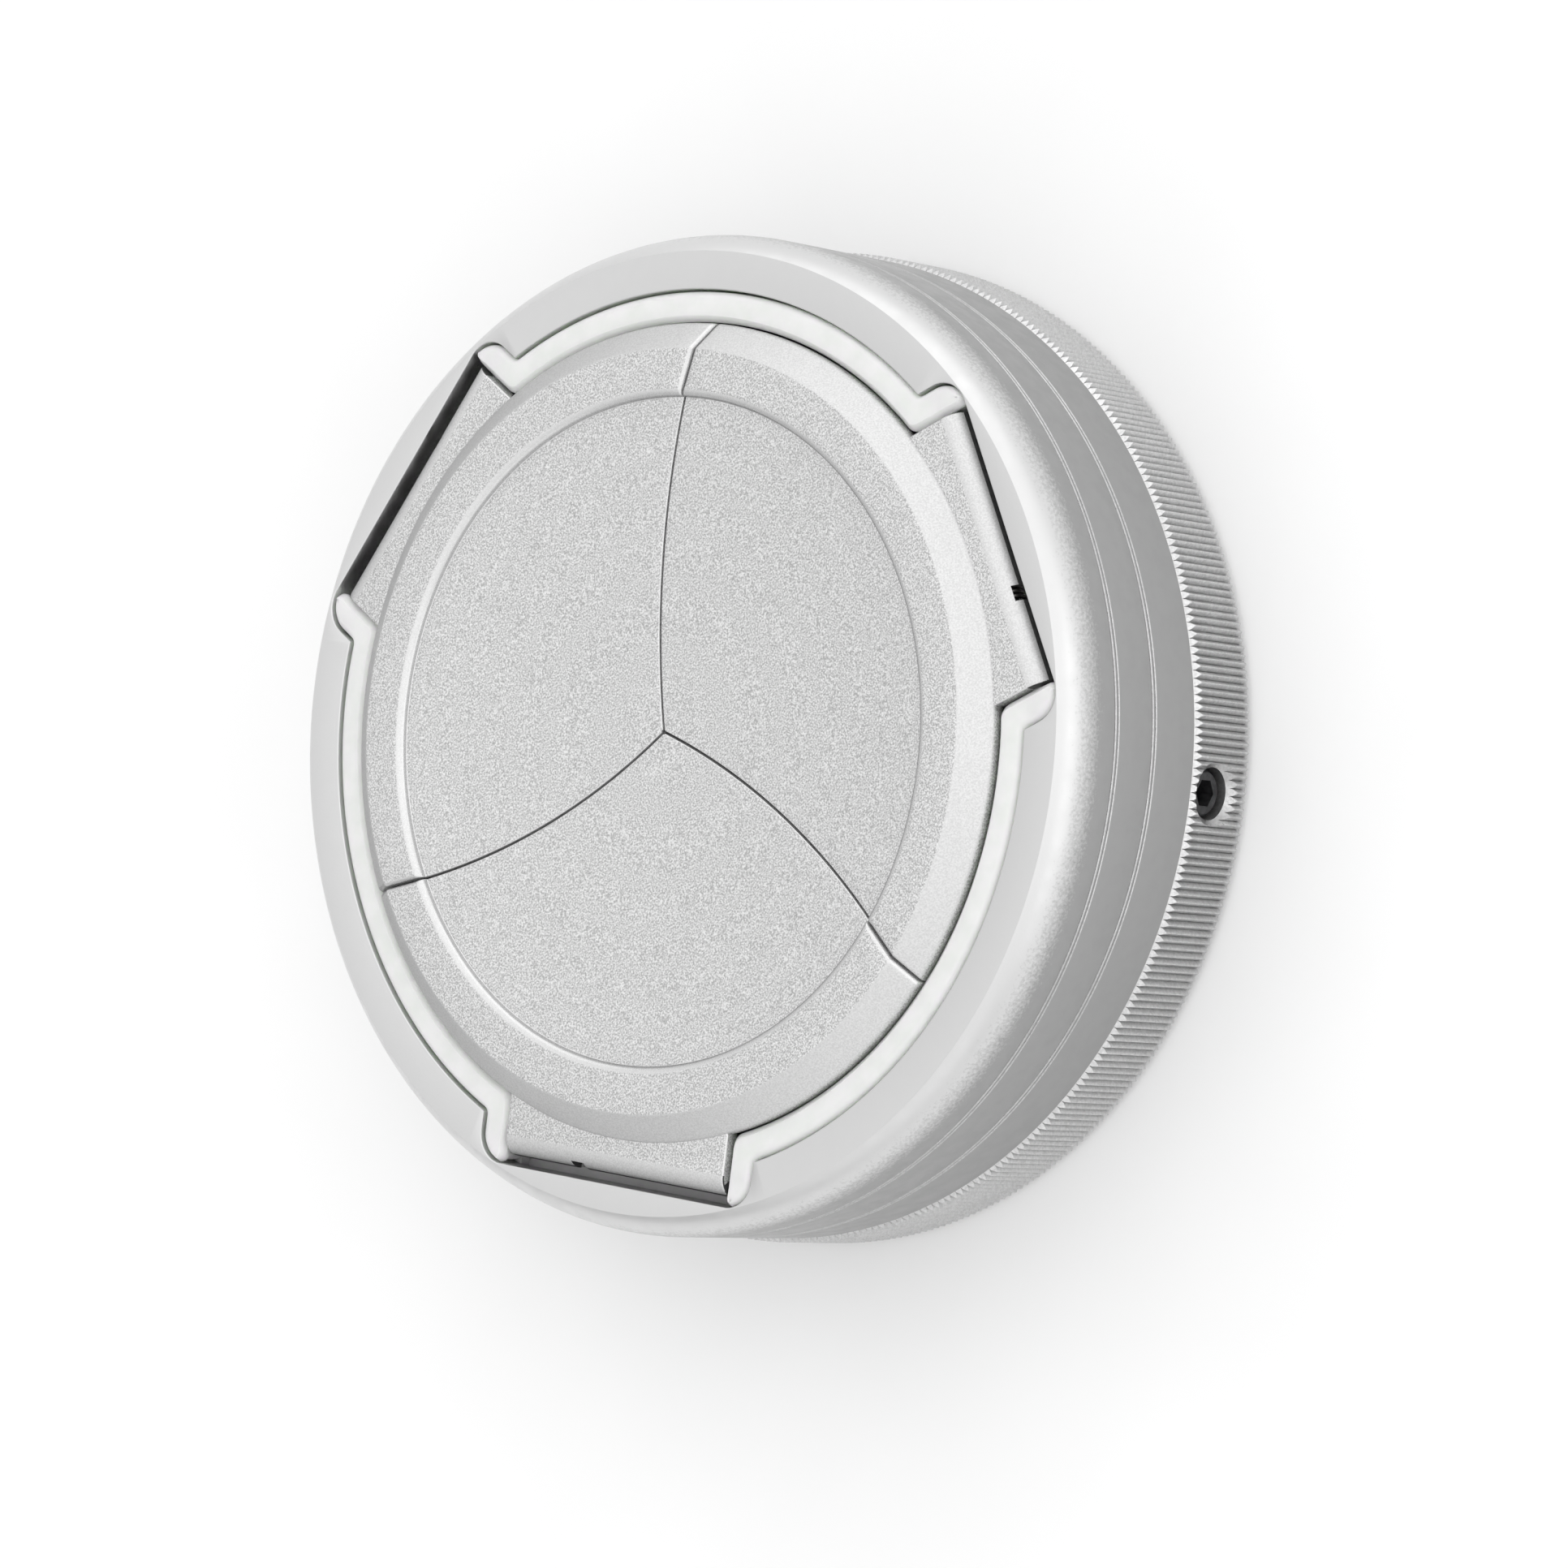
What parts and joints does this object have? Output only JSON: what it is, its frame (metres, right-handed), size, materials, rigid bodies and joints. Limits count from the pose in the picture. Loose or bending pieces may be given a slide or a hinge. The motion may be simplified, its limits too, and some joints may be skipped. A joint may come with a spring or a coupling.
{
  "type": "automatic lens cap",
  "caption": "Silver self-opening camera lens cap: sprung leaves hinged in a round ring on a knurled clamp ring, pushed apart by the lens as it extends.",
  "frame": {"origin": "centre of the rear face of the clamp ring", "axes": "+Z along the optical axis towards the subject, +X through the middle of the first hinge"},
  "size_m": [0.06, 0.06, 0.019],
  "materials": {
    "ring_metal": "satin silver anodising over fine blasting",
    "clamp_metal": "satin silver anodising on a cut straight knurl",
    "frame_plastic": "natural white, slightly translucent moulding",
    "leaf_paint": "silver paint over a fine moulded grain, smooth on the bevel",
    "pin_steel": "drawn wire",
    "spring_steel": "spring wire",
    "screw_black": "black oxide"
  },
  "bodies": {
    "housing": {"front_ring": "ring_metal", "hinge_frame": "frame_plastic", "clamp_ring": "clamp_metal", "hinge_pin_1": "pin_steel", "hinge_pin_2": "pin_steel", "hinge_pin_3": "pin_steel", "torsion_spring_1": "spring_steel", "torsion_spring_2": "spring_steel", "torsion_spring_3": "spring_steel"},
    "first_leaf": {"leaf_1": "leaf_paint"},
    "second_leaf": {"leaf_2": "leaf_paint"},
    "third_leaf": {"leaf_3": "leaf_paint"},
    "first_screw": {"set_screw_1": "screw_black"},
    "second_screw": {"set_screw_2": "screw_black"},
    "third_screw": {"set_screw_3": "screw_black"}
  },
  "joints": [
    {"name": "leaf_1_hinge", "type": "hinge", "parent": "housing", "child": "first_leaf", "pos_m": [0.0252, 0, 0.01635], "axis": [0, 1, 0], "range_deg": [0, 90], "stiffness_Nm_per_rad": 0.0008, "springref_deg": -69.9, "deforming": ["torsion_spring_1"]},
    {"name": "leaf_2_hinge", "type": "hinge", "parent": "housing", "child": "second_leaf", "pos_m": [-0.0126, 0.02182, 0.01635], "axis": [-0.866, -0.5, 0], "range_deg": [0, 90], "stiffness_Nm_per_rad": 0.0008, "springref_deg": -69.9, "deforming": ["torsion_spring_2"]},
    {"name": "leaf_3_hinge", "type": "hinge", "parent": "housing", "child": "third_leaf", "pos_m": [-0.0126, -0.02182, 0.01635], "axis": [0.866, -0.5, 0], "range_deg": [0, 90], "stiffness_Nm_per_rad": 0.0008, "springref_deg": -69.9, "deforming": ["torsion_spring_3"]},
    {"name": "set_screw_1_travel", "type": "slide", "parent": "housing", "child": "first_screw", "axis": [-0.8738, 0.4863, 0], "range_m": [0, 0.0005]},
    {"name": "set_screw_2_travel", "type": "slide", "parent": "housing", "child": "second_screw", "axis": [0.0157, -0.9999, 0], "range_m": [0, 0.0005]},
    {"name": "set_screw_3_travel", "type": "slide", "parent": "housing", "child": "third_screw", "axis": [0.8581, 0.5135, 0], "range_m": [0, 0.0005]}
  ]
}
